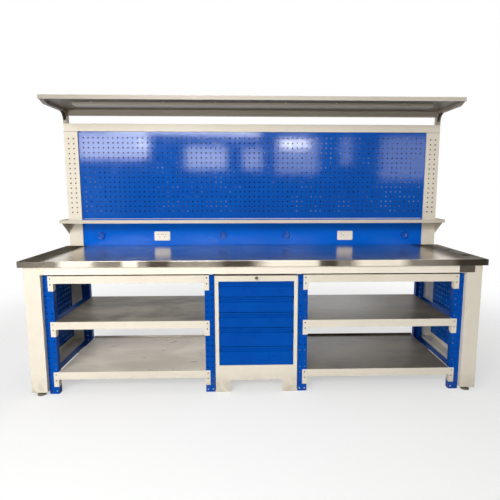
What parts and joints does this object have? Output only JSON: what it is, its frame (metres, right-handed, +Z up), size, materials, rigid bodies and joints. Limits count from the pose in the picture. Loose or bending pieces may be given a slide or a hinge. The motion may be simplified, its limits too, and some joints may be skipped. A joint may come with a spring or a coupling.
{
  "type": "workbench with pegboard",
  "caption": "Long steel workbench with stainless top, drawer cabinet between two open shelf racks, and a perforated back board, ledge and lamp canopy on rear posts.",
  "frame": {"origin": "floor, under the middle of the bench's box", "axes": "+X along the bench, +Y towards its back, +Z up"},
  "size_m": [3, 0.81, 1.983],
  "materials": {
    "stainless": "brushed, lightly worn",
    "board": "pressed board, raw",
    "cream_paint": "semi-gloss powder coat",
    "blue_paint": "gloss powder coat",
    "grey_paint": "satin powder coat",
    "zinc": "zinc plated",
    "foot_rubber": "matt",
    "lock_chrome": "polished",
    "white_plastic": "gloss",
    "blue_plastic": "gloss",
    "diffuser": "milky"
  },
  "bodies": {
    "frame": {"worktop_skin": "stainless", "worktop_core": "board", "front_apron": "cream_paint", "rear_apron": "cream_paint", "end_rails": "cream_paint", "cabinet_shell": "cream_paint", "post_left": "cream_paint", "post_right": "cream_paint", "top_rail": "cream_paint", "mid_shelf": "cream_paint", "canopy_tray": "cream_paint", "canopy_arms": "cream_paint", "canopy_rear_beam": "cream_paint", "lamp_housing": "cream_paint", "leg_front_left": "cream_paint", "leg_rear_left": "cream_paint", "left_rack_rear_beams": "cream_paint", "left_rack_beam_top": "cream_paint", "left_rack_beam_mid": "cream_paint", "left_rack_beam_low": "cream_paint", "end_panel_left": "blue_paint", "left_rack_upright_outer": "blue_paint", "left_rack_upright_inner": "blue_paint", "left_rack_back_frame": "blue_paint", "left_shelf_top": "grey_paint", "left_shelf_mid": "grey_paint", "left_shelf_low": "grey_paint", "leg_front_right": "cream_paint", "leg_rear_right": "cream_paint", "right_rack_rear_beams": "cream_paint", "right_rack_beam_top": "cream_paint", "right_rack_beam_mid": "cream_paint", "right_rack_beam_low": "cream_paint", "end_panel_right": "blue_paint", "right_rack_upright_outer": "blue_paint", "right_rack_upright_inner": "blue_paint", "right_rack_back_frame": "blue_paint", "right_shelf_top": "grey_paint", "right_shelf_mid": "grey_paint", "right_shelf_low": "grey_paint", "pegboard": "blue_paint", "socket_panel": "blue_paint", "drawer_slides": "zinc", "levelling_feet": "foot_rubber", "lock_body": "lock_chrome", "socket_outlets": "white_plastic", "round_covers": "blue_plastic", "lamp_diffuser": "diffuser"},
    "drawer_1": {"drawer_front_1": "blue_paint", "drawer_box_1": "zinc"},
    "drawer_2": {"drawer_front_2": "blue_paint", "drawer_box_2": "zinc"},
    "drawer_3": {"drawer_front_3": "blue_paint", "drawer_box_3": "zinc"},
    "drawer_4": {"drawer_front_4": "blue_paint", "drawer_box_4": "zinc"},
    "drawer_5": {"drawer_front_5": "blue_paint", "drawer_box_5": "zinc"},
    "lock_key_body": {"lock_key": "lock_chrome"},
    "lock_bar_body": {"lock_bar": "zinc"}
  },
  "joints": [
    {"name": "drawer_1_slide", "type": "slide", "parent": "frame", "child": "drawer_1", "axis": [0, -1, 0], "range_m": [0, 0.45]},
    {"name": "drawer_2_slide", "type": "slide", "parent": "frame", "child": "drawer_2", "axis": [0, -1, 0], "range_m": [0, 0.45]},
    {"name": "drawer_3_slide", "type": "slide", "parent": "frame", "child": "drawer_3", "axis": [0, -1, 0], "range_m": [0, 0.45]},
    {"name": "drawer_4_slide", "type": "slide", "parent": "frame", "child": "drawer_4", "axis": [0, -1, 0], "range_m": [0, 0.45]},
    {"name": "drawer_5_slide", "type": "slide", "parent": "frame", "child": "drawer_5", "axis": [0, -1, 0], "range_m": [0, 0.45]},
    {"name": "key_turn", "type": "hinge", "parent": "frame", "child": "lock_key_body", "pos_m": [0, -0.363, 0.777], "axis": [0, -1, 0], "range_deg": [0, 91]},
    {"name": "lock_bar_lift", "type": "slide", "parent": "frame", "child": "lock_bar_body", "axis": [0, 0, 1], "range_m": [0, 0.008]}
  ],
  "couplings": [
    {"joint": "key_turn", "follows": "lock_bar_lift", "rad_per_m": 196.35}
  ]
}
